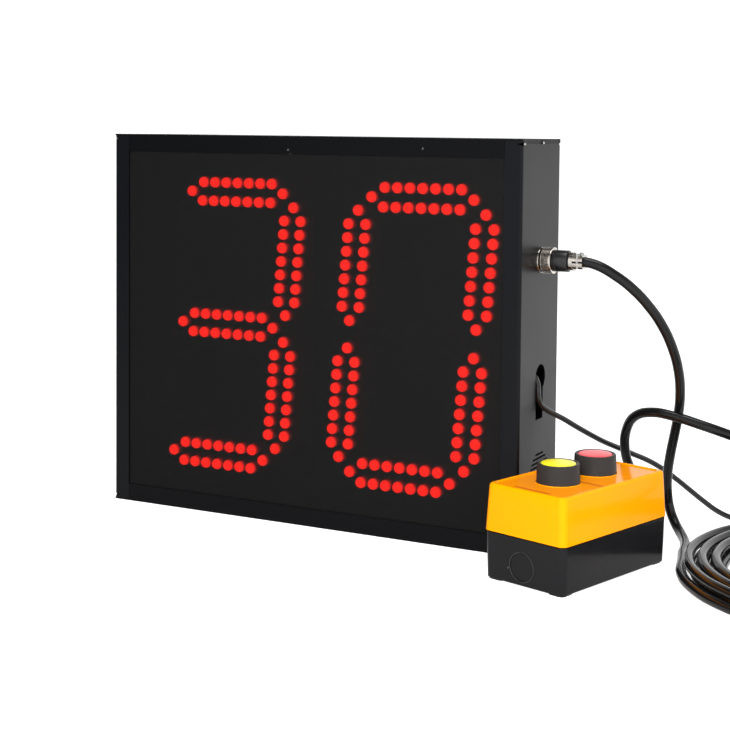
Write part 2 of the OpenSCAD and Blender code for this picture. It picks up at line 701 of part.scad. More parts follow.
module button_lock_nut() {
    color("#3a3a3c") translate([0, 0, ceiling_z - 4]) difference() {
        cylinder(d = 29, h = 4, $fn = 8);
        translate([0, 0, -1]) cylinder(r = barrel_r + 0.1, h = 6, $fn = 64);
    }
}

module button_spring() {
    wire_d = 1;
    turns = 4;
    n = 12 * turns;
    low = spring_z + wire_d / 2 + 0.05;
    rise = stem_z - spring_z - wire_d - 0.1;
    path = [for (i = [0 : n]) [6.6 * cos(30 * i), 6.6 * sin(30 * i), low + rise * i / n]];
    color("#c9cbcd") tube(path, wire_d, 6);
}

// Contact block with a collar for the barrel's end, a bore for the cap's pin and four terminals
module button_contact_block() {
    color("#35506e") difference() {
        union() {
            translate([-11, -14, block_z - 20]) cube([22, 28, 20]);
            translate([0, 0, block_z - 0.1]) cylinder(d = 26, h = 9, $fn = 48);
            for (x = [-7, 7], y = [-9, 9]) translate([x, y, block_z - 22.5]) cylinder(d = 4, h = 3, $fn = 24);
        }
        translate([0, 0, block_z]) cylinder(d = 17.4, h = 10, $fn = 48);
        translate([0, 0, barrel_z]) cylinder(r = barrel_r + 0.1, h = 10, $fn = 48);
        translate([0, 0, 22]) cylinder(d = 5, h = 20, $fn = 32);
    }
}

module yellow_cap() at_button(0) button_cap("#ffff46");
module yellow_bezel() at_button(0) button_bezel();
module yellow_lock_nut() at_button(0) button_lock_nut();
module yellow_spring() at_button(0) button_spring();
module yellow_contact_block() at_button(0) button_contact_block();
module red_cap() at_button(1) button_cap("#dc5560");
module red_bezel() at_button(1) button_bezel();
module red_lock_nut() at_button(1) button_lock_nut();
module red_spring() at_button(1) button_spring();
module red_contact_block() at_button(1) button_contact_block();

left_side_panel();
right_side_panel();
top_cap();
bottom_cap();
back_cover();
back_cover_screws();
smoked_window();
tens_led_board();
units_led_board();
tens_segment(0);  // tens_segment_a
tens_segment(1);  // tens_segment_b
tens_segment(2);  // tens_segment_c
tens_segment(3);  // tens_segment_d
tens_segment(4);  // tens_segment_e
tens_segment(5);  // tens_segment_f
tens_segment(6);  // tens_segment_g
units_segment(0);  // units_segment_a
units_segment(1);  // units_segment_b
units_segment(2);  // units_segment_c
units_segment(3);  // units_segment_d
units_segment(4);  // units_segment_e
units_segment(5);  // units_segment_f
units_segment(6);  // units_segment_g
board_posts();
board_screws();
controller_board();
controller_parts();
display_wiring();
buzzer();
panel_socket();
socket_nut();
plug_body();
coupling_ring();
cable_clamp();
clamp_screws();
lead_clip();
power_lead();
power_lead_coil();
power_plug();
station_base();
station_gasket();
station_cover();
station_screws();
cable_gland();
gland_nut();
station_wiring();
yellow_cap();
yellow_bezel();
yellow_lock_nut();
yellow_spring();
yellow_contact_block();
red_cap();
red_bezel();
red_lock_nut();
red_spring();
red_contact_block();
control_cable_drop();
control_cable_coil();
control_cable_return();
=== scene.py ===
import math

import bmesh
import bpy
from mathutils import Matrix, Vector


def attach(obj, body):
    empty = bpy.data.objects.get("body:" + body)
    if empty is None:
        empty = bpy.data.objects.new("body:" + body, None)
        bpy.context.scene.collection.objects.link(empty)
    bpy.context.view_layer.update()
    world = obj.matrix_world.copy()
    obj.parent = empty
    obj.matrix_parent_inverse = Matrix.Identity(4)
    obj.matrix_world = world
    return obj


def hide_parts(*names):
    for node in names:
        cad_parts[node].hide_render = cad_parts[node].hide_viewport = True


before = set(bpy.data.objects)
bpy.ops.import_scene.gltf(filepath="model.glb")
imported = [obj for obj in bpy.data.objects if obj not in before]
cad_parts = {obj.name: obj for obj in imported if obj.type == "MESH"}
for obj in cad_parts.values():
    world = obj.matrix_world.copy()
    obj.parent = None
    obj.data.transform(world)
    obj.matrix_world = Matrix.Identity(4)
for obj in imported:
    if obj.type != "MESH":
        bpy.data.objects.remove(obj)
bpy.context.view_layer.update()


# CAMERA
# A long lens looks at the display from its front right, at the height of its top. The picture is
# an off-centre crop of a wider one, which is what the lens shift is for.
camera_data = bpy.data.cameras.new("camera")
camera_data.sensor_width = 36
camera_data.lens = 73.66
camera_data.shift_x = -0.0616
camera_data.shift_y = -0.2219
camera_data.clip_start = 0.05
camera_data.clip_end = 30
camera = bpy.data.objects.new("camera", camera_data)
aim_left, aim_down, roll = 26.46, 2.836, 0.588
camera.matrix_world = (
    Matrix.Translation((0.5444, -0.9599, 0.2879))
    @ Matrix.Rotation(math.radians(aim_left), 4, "Z")
    @ Matrix.Rotation(math.radians(90 - aim_down), 4, "X")
    @ Matrix.Rotation(math.radians(roll), 4, "Z")
)
bpy.context.collection.objects.link(camera)
bpy.context.scene.camera = camera
bpy.context.scene.view_settings.view_transform = "Standard"


# CONTROL CABLE
# One round rubbery cable, 7 mm thick and a little over 5.1 m long: down from the plug, round a
# coil of two layers on the table, and over an arch to the gland on the station's far end.
def surface_group():
    """Broad patches and fine grain in one group, for moulded, coated and rolled surfaces alike."""
    tree = bpy.data.node_groups.new("surface_grain", "ShaderNodeTree")
    for name, kind in (
        ("Vector", "NodeSocketVector"), ("Patch Scale", "NodeSocketFloat"),
        ("Grain Scale", "NodeSocketFloat"), ("Smoothest", "NodeSocketFloat"),
        ("Roughest", "NodeSocketFloat"),
    ):
        tree.interface.new_socket(name, in_out="INPUT", socket_type=kind)
    for name in ("Patches", "Roughness", "Height"):
        tree.interface.new_socket(name, in_out="OUTPUT", socket_type="NodeSocketFloat")
    add, join = tree.nodes.new, tree.links.new
    start, end = add("NodeGroupInput"), add("NodeGroupOutput")
    patches, grain = add("ShaderNodeTexNoise"), add("ShaderNodeTexNoise")
    rough = add("ShaderNodeMapRange")
    patches.inputs["Detail"].default_value = 4
    grain.inputs["Detail"].default_value = 2
    rough.inputs["From Min"].default_value = 0.3
    rough.inputs["From Max"].default_value = 0.7
    for noise, scale in ((patches, "Patch Scale"), (grain, "Grain Scale")):
        join(start.outputs["Vector"], noise.inputs["Vector"])
        join(start.outputs[scale], noise.inputs["Scale"])
    join(patches.outputs["Fac"], rough.inputs["Value"])
    join(start.outputs["Smoothest"], rough.inputs["To Min"])
    join(start.outputs["Roughest"], rough.inputs["To Max"])
    join(patches.outputs["Fac"], end.inputs["Patches"])
    join(rough.outputs["Result"], end.inputs["Roughness"])
    join(grain.outputs["Fac"], end.inputs["Height"])
    return tree


surface_grain = surface_group()


def colour_mix(tree, first, second):
    """A mix of two colours, or of a socket and a colour. Gives its factor and its result."""
    mix = tree.nodes.new("ShaderNodeMix")
    mix.data_type = "RGBA"
    ends = [socket for socket in mix.inputs if socket.type == "RGBA"]
    for socket, colour in zip(ends, (first, second)):
        if isinstance(colour, tuple):
            socket.default_value = (*colour, 1)
        else:
            tree.links.new(colour, socket)
    return mix.inputs["Factor"], next(s for s in mix.outputs if s.type == "RGBA")


def finish(name, dark, light, patch, grain, depth, rough, **sockets):
    """A material whose colour wanders from dark to light, with grain of that many bumps a metre
    and that depth in metres, and roughness between two values. Further sockets are constants."""
    material = bpy.data.materials.new(name)
    material.use_nodes = True
    add, join = material.node_tree.nodes.new, material.node_tree.links.new
    shader = material.node_tree.nodes["Principled BSDF"]
    place, group = add("ShaderNodeTexCoord"), add("ShaderNodeGroup")
    group.node_tree = surface_grain
    group.inputs["Patch Scale"].default_value = patch
    group.inputs["Grain Scale"].default_value = grain
    group.inputs["Smoothest"].default_value, group.inputs["Roughest"].default_value = rough
    join(place.outputs["Object"], group.inputs["Vector"])
    factor, mixed = colour_mix(material.node_tree, dark, light)
    join(group.outputs["Patches"], factor)
    join(mixed, shader.inputs["Base Color"])
    join(group.outputs["Roughness"], shader.inputs["Roughness"])
    bump = add("ShaderNodeBump")
    bump.inputs["Strength"].default_value = 0.5
    bump.inputs["Distance"].default_value = depth
    join(group.outputs["Height"], bump.inputs["Height"])
    join(bump.outputs["Normal"], shader.inputs["Normal"])
    for socket, value in sockets.items():
        shader.inputs[socket.replace("_", " ")].default_value = value
    return material


def coil_points(at, r, pitch, turns, start, rise, per_turn=24):
    """A round coil that spirals in, climbs over half a turn and spirals out again."""
    points = []
    steps = round(turns * per_turn)
    for i in range(steps + 1):
        t = turns * i / steps
        reach = r - pitch * min(t, turns - t)
        climb = min(1, max(0, (t - turns / 2) * 2 + 0.5))
        turn = math.radians(start + 360 * t)
        height = rise * climb * climb * (3 - 2 * climb)
        points.append(
            Vector(at) + Vector((reach * math.cos(turn), reach * math.sin(turn), height)))
    return points


def straight_ends(points, length):
    """Adds a straight end of that length on both sides."""
    return [
        points[0] - length * (points[1] - points[0]).normalized(), *points,
        points[-1] + length * (points[-1] - points[-2]).normalized()]


def cable(name, route, diameter, material):
    """A round cable, its diameter in metres, on a smooth curve through a route in millimetres."""
    curve = bpy.data.curves.new(name, "CURVE")
    curve.dimensions = "3D"
    curve.bevel_depth = diameter / 2
    curve.bevel_resolution = 5
    curve.resolution_u = 4
    curve.use_fill_caps = True
    spline = curve.splines.new("BEZIER")
    spline.bezier_points.add(len(route) - 1)
    for knot, point in zip(spline.bezier_points, route):
        knot.co = Vector(point) / 1000
        knot.handle_left_type = knot.handle_right_type = "AUTO"
    curve.materials.append(material)
    piece = bpy.data.objects.new(name, curve)
    bpy.context.collection.objects.link(piece)
    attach(piece, "display_and_station")
    return piece


station_turn = math.radians(73.3)
station = Matrix.Translation((227.5, -107, 0)) @ Matrix.Rotation(station_turn, 4, "Z")
cable_rubber = finish(
    "cable_rubber", (0.004, 0.004, 0.004), (0.007, 0.0065, 0.0065), patch=60, grain=900,
    depth=0.00006, rough=(0.12, 0.2), Specular_IOR_Level=0.3)
coil_end = 8
control_coil = straight_ends(
    coil_points((392, 14, 3.6), r=121, pitch=9, turns=6.62, start=187, rise=7.5), coil_end)
coil_in = (control_coil[1] - control_coil[0]).normalized()
coil_out = (control_coil[-1] - control_coil[-2]).normalized()
control_route = [
    (190, 0, 198.7), (200, 0, 198.7), (209.5, 0.8, 196.5), (220.5, 3, 190.5),
    (231.5, 6.5, 182), (241.5, 11.5, 170.5), (249.5, 17.5, 157), (255, 24, 141.5), (257.6, 31, 125),
    (257, 38.5, 108), (253.8, 46, 91.5), (249, 53.5, 75), (244.2, 60.5, 58.5), (240.8, 66.5, 43),
    (239.8, 70.5, 29.5), (241.8, 71, 18), (246.5, 67.5, 9.8), (252.5, 60.5, 5.2), (258, 50.5, 3.8),
    (262.3, 39.5, 3.6), (265.3, 28, 3.6), control_coil[0] - coil_end * coil_in,
    *control_coil, control_coil[-1] + coil_end * coil_out,
    (450.5, 127, 13), (437.5, 131.5, 17), (423, 130.5, 22.5), (408, 122.5, 29), (391.5, 110, 36.5),
    (374, 95.5, 44.5), (356, 80.5, 53), (337.5, 66, 62), (317, 52.5, 71.5), (295, 42.5, 80.5),
    (273, 37, 87.5), (253.5, 36, 92), (237, 38.5, 92.8), (223.5, 43.5, 88), (215.2, 50, 76.5),
    (212.3, 56, 62), (213.2, 61.5, 50), (217.5, 66, 39.5), (224.5, 67.5, 30.5), (231.5, 64.5, 23.5),
    (236.8, 58.5, 19.3), (239.6, 51, 17.4), (239.3, 43.8, 17),
    *[station @ Vector((u, 32, 17)) for u in (141, 134, 128.1)],
]
control_cable = cable("control_cable", control_route, 0.007, cable_rubber)
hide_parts("control_cable_drop", "control_cable_coil", "control_cable_return")


# POWER LEAD
# A thin round lead, 4 mm thick and about 1.5 m long. It is clipped inside the case, comes out
# through the slot, passes behind the station and ends in a small coil with its barrel plug.
lead_coil = straight_ends(
    coil_points((312, 180, 2.1), r=36, pitch=4.7, turns=7.111, start=-60, rise=4.5), 5)
lead_route = [
    (154, -3, 119), (160, -3, 119), (165, -3, 118), (167.6, -3, 114.3), (168.4, -3, 109),
    (168.6, -2.7, 103.5), (169.4, -1.2, 98.8), (171.6, 2.5, 95.2), (174.8, 8, 91.6),
    (179.4, 17, 86.6), (185, 28.5, 79.6), (191, 40.5, 72.5), (197.5, 53, 65.5), (204.5, 65, 59.5),
    (212.5, 76, 53.5), (220.5, 85.5, 48), (228.5, 93.5, 41.5), (236.5, 100.5, 33.8),
    (245, 107, 25.3), (254.5, 112.5, 16.5), (265, 117, 8.5), (276.5, 121.5, 3.6),
    (289.5, 127.5, 2.1), (304.5, 134.5, 2.1),
    lead_coil[0] - 7 * (lead_coil[1] - lead_coil[0]).normalized(), *lead_coil,
]
lead_vinyl = finish(
    "lead_vinyl", (0.003, 0.003, 0.003), (0.006, 0.006, 0.006), patch=80, grain=1200,
    depth=0.00003, rough=(0.08, 0.14))
power_lead = cable("power_lead_whole", lead_route, 0.004, lead_vinyl)
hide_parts("power_lead", "power_lead_coil")


# FLOOR AND LIGHT
# A pale table in a room that is white to the camera, with a soft lamp near the camera and one
# above. The table glows for the camera, and for reflections behind the display's front.
def build(name, bm, material, body="display_and_station", smooth=35):
    """Makes a finished piece of a bmesh, and lets it ride on a body."""
    mesh = bpy.data.meshes.new(name)
    bm.normal_update()
    bm.to_mesh(mesh)
    bm.free()
    mesh.materials.append(material)
    if smooth:
        mesh.shade_smooth()
        mesh.set_sharp_from_angle(angle=math.radians(smooth))
    piece = bpy.data.objects.new(name, mesh)
    bpy.context.collection.objects.link(piece)
    if body:
        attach(piece, body)
    return piece


def calc(tree, operation, first, second):
    """A math node on two sockets, or on a socket and a number. Gives its result."""
    node = tree.nodes.new("ShaderNodeMath")
    node.operation = operation
    for socket, value in zip(node.inputs, (first, second)):
        if isinstance(value, bpy.types.NodeSocket):
            tree.links.new(value, socket)
        else:
            socket.default_value = value
    return node.outputs["Value"]


def along(tree, kind, axis):
    """One axis of a texture coordinate of that kind."""
    place, split = tree.nodes.new("ShaderNodeTexCoord"), tree.nodes.new("ShaderNodeSeparateXYZ")
    tree.links.new(place.outputs[kind], split.inputs["Vector"])
    return split.outputs[axis]


def ramp(tree, value, start, end, low=0, high=1, curve="LINEAR"):
    """Takes a socket's value from one range to another and holds it there. Gives its result."""
    node = tree.nodes.new("ShaderNodeMapRange")
    node.interpolation_type = curve
    for name, bound in (("From Min", start), ("From Max", end), ("To Min", low), ("To Max", high)):
        node.inputs[name].default_value = bound
    tree.links.new(value, node.inputs["Value"])
    return node.outputs["Result"]


table_cloth = finish(
    "table_cloth", (0.7, 0.7, 0.7), (0.74, 0.74, 0.74), patch=6, grain=600, depth=0.0001,
    rough=(0.6, 0.8), Specular_IOR_Level=0.2, Emission_Color=(1, 1, 1, 1))
tree = table_cloth.node_tree
ray = tree.nodes.new("ShaderNodeLightPath")
seen = calc(tree, "MULTIPLY", ray.outputs["Is Camera Ray"], 0.8)
behind = ramp(tree, along(tree, "Object", "Y"), start=-0.1, end=0.2, high=0.75)
mirrored = calc(tree, "MULTIPLY", ray.outputs["Is Glossy Ray"], behind)
lift = calc(tree, "ADD", seen, mirrored)
tree.links.new(lift, tree.nodes["Principled BSDF"].inputs["Emission Strength"])
table_half, table_front = 8, -0.8
bm = bmesh.new()
bmesh.ops.create_grid(bm, x_segments=1, y_segments=1, size=table_half)
bmesh.ops.translate(bm, verts=bm.verts, vec=(0, table_half + table_front, 0))
build("table", bm, table_cloth, body=None)

room = bpy.data.worlds.new("room")
room.use_nodes = True
tree = room.node_tree
sky = tree.nodes["Background"]
sky.inputs["Color"].default_value = (1, 1, 1, 1)
# Rays that aren't the camera's find it bright, but dark at the front left and dim overhead.
back, right, overhead = [
    ramp(tree, along(tree, "Generated", axis), start, end, low, high, curve="SMOOTHSTEP")
    for axis, start, end, low, high in (
        ("Y", -0.3, 0.7, 0.02, 1.2), ("X", -0.58, -0.36, 0.02, 1.3), ("Z", 0.4, 0.8, 1, 0.2))]
wall = calc(tree, "MAXIMUM", back, right)
dimmed = calc(tree, "MULTIPLY", wall, overhead)
ray = tree.nodes.new("ShaderNodeLightPath")
seen = calc(tree, "MAXIMUM", dimmed, ray.outputs["Is Camera Ray"])
tree.links.new(seen, sky.inputs["Strength"])
bpy.context.scene.world = room


def soft_lamp(name, place, towards, size, power, mirrored=True):
    """A round area lamp. One that isn't mirrored lights surfaces but leaves no highlight."""
    data = bpy.data.lights.new(name, "AREA")
    data.shape, data.size, data.energy = "DISK", size, power
    lamp = bpy.data.objects.new(name, data)
    lamp.location = place
    lamp.rotation_euler = (Vector(towards) - Vector(place)).to_track_quat("-Z", "Y").to_euler()
    lamp.visible_camera, lamp.visible_glossy = False, mirrored
    bpy.context.collection.objects.link(lamp)


soft_lamp(
    "lamp_by_camera", (0.5, -1.05, 0.5), (0.2, 0, 0.08), size=0.4, power=14, mirrored=False)
soft_lamp("lamp_above", (0.2, -0.2, 2.0), (0.1, 0, 0), size=1.2, power=14)


# DISPLAY CASE
# Folded sheet steel, 1.2 mm thick: two sides with the front stiles, a top and a bottom cap with
# the front rails, and a back cover held by screws. It is powder-coated black, the top rail chipped.
def refinish(material, *names):
    """Gives CAD solids whose shape is right a better surface."""
    for name in names:
        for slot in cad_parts[name].material_slots:
            slot.material = material


def chip_group():
    """One ragged spot round a place, 1 where the coat is gone."""
    tree = bpy.data.node_groups.new("chipped_spot", "ShaderNodeTree")
    for name, kind in (
        ("Vector", "NodeSocketVector"), ("Place", "NodeSocketVector"), ("Size", "NodeSocketFloat"),
    ):
        tree.interface.new_socket(name, in_out="INPUT", socket_type=kind)
    tree.interface.new_socket("Mask", in_out="OUTPUT", socket_type="NodeSocketFloat")
    add, join = tree.nodes.new, tree.links.new
    start, end = add("NodeGroupInput"), add("NodeGroupOutput")
    ragged, far = add("ShaderNodeTexNoise"), add("ShaderNodeVectorMath")
    ragged.inputs["Scale"].default_value = 900
    far.operation = "DISTANCE"
    join(start.outputs["Vector"], ragged.inputs["Vector"])
    join(start.outputs["Vector"], far.inputs[0])
    join(start.outputs["Place"], far.inputs[1])
    edge = calc(tree, "MULTIPLY", ragged.outputs["Fac"], start.outputs["Size"])
    spot = calc(tree, "LESS_THAN", far.outputs["Value"], edge)
    join(spot, end.inputs["Mask"])
    return tree


def chip_coat(material, chips, bare):
    """Lets the bare colour show where the coat is chipped. Places are in metres."""
    group_tree = chip_group()
    add, join = material.node_tree.nodes.new, material.node_tree.links.new
    shader = material.node_tree.nodes["Principled BSDF"]
    coat = shader.inputs["Base Color"].links[0].from_socket
    place = next(n for n in material.node_tree.nodes if n.type == "TEX_COORD")
    for spot, size in chips:
        chip = add("ShaderNodeGroup")
        chip.node_tree = group_tree
        chip.inputs["Place"].default_value = spot
        chip.inputs["Size"].default_value = size
        join(place.outputs["Object"], chip.inputs["Vector"])
        factor, coat = colour_mix(material.node_tree, coat, bare)
        join(chip.outputs["Mask"], factor)
    join(coat, shader.inputs["Base Color"])


powder_coat = finish(
    "powder_coat", (0.0009, 0.0012, 0.0022), (0.0018, 0.0022, 0.0036), patch=9, grain=800,
    depth=0.0001, rough=(0.34, 0.44), Specular_IOR_Level=0.2)
refinish(powder_coat, "left_side_panel", "right_side_panel", "back_cover")
cap_coat = finish(
    "cap_coat", (0.0008, 0.001, 0.0016), (0.0018, 0.002, 0.0028), patch=9, grain=800, depth=0.0001,
    rough=(0.36, 0.46), Specular_IOR_Level=0.13)
chip_coat(cap_coat, [
    ((-0.029, -0.036, 0.268), 0.0013), ((-0.014, -0.036, 0.272), 0.0017),
    ((-0.012, -0.036, 0.2685), 0.0015), ((-0.006, -0.036, 0.268), 0.0015),
    ((0.094, -0.036, 0.2746), 0.0014),
], (0.06, 0.06, 0.06))
refinish(cap_coat, "top_cap", "bottom_cap")



def edges_of(verts):
    """Every edge that meets these vertices, once and in order."""
    return list(dict.fromkeys(e for v in verts for e in v.link_edges))


ear_size = Matrix.Diagonal((0.0011, 0.0046, 0.0031, 1))
bm = bmesh.new()
for x in (-0.1675, 0.1675):
    for y in (-0.0324, 0.0324):
        for z in (0.0015, 0.2805):
            ear = bmesh.ops.create_cube(
                bm, size=1, matrix=Matrix.Translation((x, y, z)) @ ear_size)
            bmesh.ops.bevel(
                bm, geom=edges_of(ear["verts"]), offset=0.0004, segments=3, profile=0.5,
                affect="EDGES", material=-1)
build("cap_ears", bm, cap_coat)


# SCREWS
# Zinc-plated countersunk and pan screws, bright with a faint yellow cast. Small bare rivet heads
# close the top cap at its front corners and halfway back.
zinc = finish(
    "zinc_plate", (0.42, 0.42, 0.4), (0.6, 0.6, 0.57), patch=300, grain=2500, depth=0.00003,
    rough=(0.25, 0.4), Metallic=1)
bm = bmesh.new()
for side in (-1, 1):
    for x, y, z in ((0.1682, -0.0332, 0.2786), (0.1686, 0, 0.2793)):
        bmesh.ops.create_uvsphere(
            bm, u_segments=16, v_segments=10, radius=0.001,
            matrix=Matrix.Translation((side * x, y, z)))
build("cap_rivets", bm, zinc)
refinish(zinc, "back_cover_screws", "board_screws", "station_screws")


# WINDOW
# One sheet of smoked acrylic, so dark that hardly anything but the lit lamps shows through it.
smoked_acrylic = finish(
    "smoked_acrylic", (0.0084, 0.0084, 0.0084), (0.0087, 0.0087, 0.0087), patch=14, grain=500,
    depth=0.000001, rough=(0.34, 0.38), Specular_IOR_Level=0.04, Alpha=0.9)
refinish(smoked_acrylic, "smoked_window")


# LAMPS
# Round 8 mm lamps of red epoxy with a thin flange, soldered to the boards in two rows a segment.
# The lit ones glow evenly from the dome, and their sides behind it only a dull red.
lit_segments = [f"tens_segment_{k}" for k in "abcdg"] + [f"units_segment_{k}" for k in "abcdef"]
dark_segments = ["tens_segment_e", "tens_segment_f", "units_segment_g"]

lamp_lit = finish(
    "lamp_lit", (0.2, 0.008, 0.006), (0.25, 0.01, 0.008), patch=300, grain=3000, depth=0.00001,
    rough=(0.15, 0.25), Emission_Strength=100)
tree = lamp_lit.node_tree
dome = ramp(tree, along(tree, "Normal", "Y"), start=-0.05, end=-0.4, low=0.3)
tip = ramp(tree, along(tree, "Object", "Y"), start=-0.016, end=-0.018)
lit = calc(tree, "MULTIPLY", dome, tip)
factor, glow = colour_mix(tree, (0.03, 0.0, 0.0), (1, 0.012, 0.006))
tree.links.new(lit, factor)
tree.links.new(glow, tree.nodes["Principled BSDF"].inputs["Emission Color"])
refinish(lamp_lit, *lit_segments)

lamp_dark = finish(
    "lamp_dark", (0.015, 0.002, 0.0015), (0.02, 0.0025, 0.002), patch=300, grain=3000,
    depth=0.00001, rough=(0.35, 0.45), Specular_IOR_Level=0.15)
refinish(lamp_dark, *dark_segments)


# BOARDS
# Glass-fibre boards in dark green solder mask: one for each digit's lamps and one that drives
# them, on brass posts. The last carries black chips, and grey wires and ribbons join the three.
solder_mask = finish(
    "solder_mask", (0.004, 0.018, 0.009), (0.007, 0.03, 0.014), patch=160, grain=1500,
    depth=0.00003, rough=(0.3, 0.42))
refinish(solder_mask, "tens_led_board", "units_led_board", "controller_board")
brass = finish(
    "brass", (0.5, 0.36, 0.14), (0.62, 0.46, 0.2), patch=200, grain=2500, depth=0.00002,
    rough=(0.25, 0.38), Metallic=1)
refinish(brass, "board_posts")
chip_plastic = finish(
    "chip_plastic", (0.008, 0.008, 0.009), (0.014, 0.014, 0.015), patch=150, grain=3000,
    depth=0.00003, rough=(0.4, 0.55))
refinish(chip_plastic, "controller_parts", "buzzer", "lead_clip")
wire_vinyl = finish(
    "wire_vinyl", (0.22, 0.23, 0.24), (0.3, 0.31, 0.32), patch=120, grain=1500, depth=0.00003,
    rough=(0.35, 0.45))
refinish(wire_vinyl, "display_wiring", "station_wiring")


# CONNECTOR
# A round 16 mm metal connector: a chromed socket in the side panel, a knurled ring that draws the
# plug home, the plug's black barrel, and a chromed clamp of two saddles with zinc-plated screws.
def turned(profile, place, steps=96, closed=False):
    """Spins a profile of (radius, height) points about +Z, and puts it in place."""
    bm = bmesh.new()
    rim = [bm.verts.new((r, 0, h)) for r, h in profile]
    edges = [bm.edges.new(pair) for pair in zip(rim, rim[1:])]
    if closed:
        edges.append(bm.edges.new((rim[-1], rim[0])))
    bmesh.ops.spin(
        bm, geom=rim + edges, cent=(0, 0, 0), axis=(0, 0, 1), angle=math.tau, steps=steps,
        use_merge=True)
    bmesh.ops.remove_doubles(bm, verts=bm.verts, dist=1e-4)
    bmesh.ops.recalc_face_normals(bm, faces=bm.faces)
    bm.transform(place)
    return bm


plug_axis = (
    Matrix.Translation((0.168, 0, 0.1987)) @ Matrix.Rotation(math.radians(90), 4, "Y")
    @ Matrix.Scale(0.001, 4))
# Chrome whose colour wanders widely between dark and bright patches: the plating's own tone with
# painted reflections.
chrome = finish(
    "chrome_painted_reflections", (0.26, 0.23, 0.2), (0.86, 0.81, 0.75), patch=420, grain=1800, depth=0.00004,
    rough=(0.07, 0.14), Metallic=1)
barrel_black = finish(
    "barrel_black", (0.006, 0.006, 0.006), (0.012, 0.012, 0.012), patch=200, grain=1800,
    depth=0.00004, rough=(0.2, 0.3))

bm = turned([
    (0, -14), (6.2, -14), (6.2, -9), (7.9, -9), (7.9, 0.05), (9, 0.05), (9, 0.95), (8.9, 1.2),
    (8.65, 1.3), (8.3, 1.45), (7.9, 1.6), (7.9, 9), (6.6, 9), (6.6, 3), (0, 3),
], plug_axis)
socket = build("socket_shell", bm, chrome)
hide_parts("panel_socket")
refinish(chrome, "socket_nut")

bm = turned([
    (8.05, 2), (8.8, 2), (9.1, 2.15), (9.2, 2.5), (9.2, 3.0), (9.0, 3.2), (9.0, 4.2), (9.0, 5.2),
    (9.0, 6.2), (9.0, 7.2), (9.0, 8.2), (9.2, 8.4), (9.2, 9.5), (9.1, 9.85), (8.8, 10), (6.6, 10),
    (6.6, 9.3), (8.05, 9.3),
], Matrix(), steps=60, closed=True)
knurl = [
    f for f in bm.faces
    if 3.3 < f.calc_center_median().z < 8.1 and f.calc_center_median().xy.length > 8.9]
bmesh.ops.inset_individual(bm, faces=knurl, thickness=0.2, depth=0.18)
bm.transform(plug_axis)
ring = build("knurled_ring", bm, chrome, body="ring")
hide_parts("coupling_ring")

bm = turned([
    (0, 3.3), (6.3, 3.3), (6.3, 10.3), (7.1, 10.3), (7.4, 10.45), (7.5, 10.8), (7.5, 12.4),
    (7.3, 12.6), (7.3, 13.1), (7.5, 13.3), (7.5, 20.2), (7.4, 20.7), (7.1, 21), (5.4, 21),
    (5.4, 22), (0, 22),
], plug_axis)
barrel = build("plug_barrel", bm, barrel_black)
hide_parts("plug_body")



def only(kind, geom):
    """The parts of one kind among what a bmesh operator gives back."""
    return [part for part in geom if isinstance(part, kind)]


saddle = [(3.55, 24.8), (6.4, 24.8), (6.4, 32), (3.55, 32)]
saddle_angle, clamp_half = 168, 4.7
bm = bmesh.new()
for start in (6, 186):
    turn = Matrix.Rotation(math.radians(start), 3, "Z")
    section = bm.faces.new([bm.verts.new(turn @ Vector((0, r, h))) for r, h in saddle])
    bmesh.ops.spin(
        bm, geom=[section, *section.verts, *section.edges], cent=(0, 0, 0), axis=(0, 0, 1),
        angle=math.radians(saddle_angle), steps=32, use_duplicate=False)
for side in (-1, 1):
    cut = bmesh.ops.bisect_plane(
        bm, geom=[*bm.verts, *bm.edges, *bm.faces], plane_co=(side * clamp_half, 0, 0),
        plane_no=(side, 0, 0), clear_outer=True)
    bmesh.ops.holes_fill(bm, edges=only(bmesh.types.BMEdge, cut["geom_cut"]))
collar = [(3.55, 22), (6.3, 22), (6.5, 22.2), (6.5, 24.6), (6.3, 24.8), (3.55, 24.8)]
hoop = [bm.verts.new((r, 0, h)) for r, h in collar]
hoop_edges = [bm.edges.new(pair) for pair in zip(hoop, hoop[1:] + hoop[:1])]
bmesh.ops.spin(
    bm, geom=hoop + hoop_edges, cent=(0, 0, 0), axis=(0, 0, 1), angle=math.tau, steps=64,
    use_merge=True)
bmesh.ops.remove_doubles(bm, verts=bm.verts, dist=1e-4)
bmesh.ops.recalc_face_normals(bm, faces=bm.faces)
bm.transform(plug_axis)
clamp = build("clamp_saddles", bm, chrome)
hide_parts("cable_clamp")



def merge(bm, other):
    """Moves another mesh into this one."""
    part = bpy.data.meshes.new("part")
    other.to_mesh(part)
    other.free()
    bm.from_mesh(part)
    bpy.data.meshes.remove(part)


slot_half, slot_depth = 0.25, 0.7
bm = bmesh.new()
for y in (-5, 5):
    screw = turned([
        (0, -4.6), (1, -4.6), (1, 4.5), (1.75, 4.5), (1.8, 4.9), (1.6, 5.5), (1.1, 5.95), (0, 6.1),
    ], Matrix(), steps=32)
    for side in (-1, 1):
        bmesh.ops.bisect_plane(
            screw, geom=[*screw.verts, *screw.edges, *screw.faces],
            plane_co=(side * slot_half, 0, 0), plane_no=(1, 0, 0))
    strip = [
        f for f in screw.faces
        if f.calc_center_median().z > 5.0
        and all(abs(v.co.x) < slot_half + 0.01 for v in f.verts)]
    sunk = bmesh.ops.extrude_face_region(screw, geom=strip)
    moved = only(bmesh.types.BMVert, sunk["geom"])
    bmesh.ops.delete(screw, geom=strip, context="FACES")
    bmesh.ops.translate(screw, verts=moved, vec=(0, 0, -slot_depth))
    screw.transform(
        Matrix.Translation((0, y, 28)) @ Matrix.Rotation(math.radians(-90), 4, "Y")
        @ Matrix.Rotation(math.radians(25 * y), 4, "Z"))
    merge(bm, screw)
bm.transform(plug_axis)
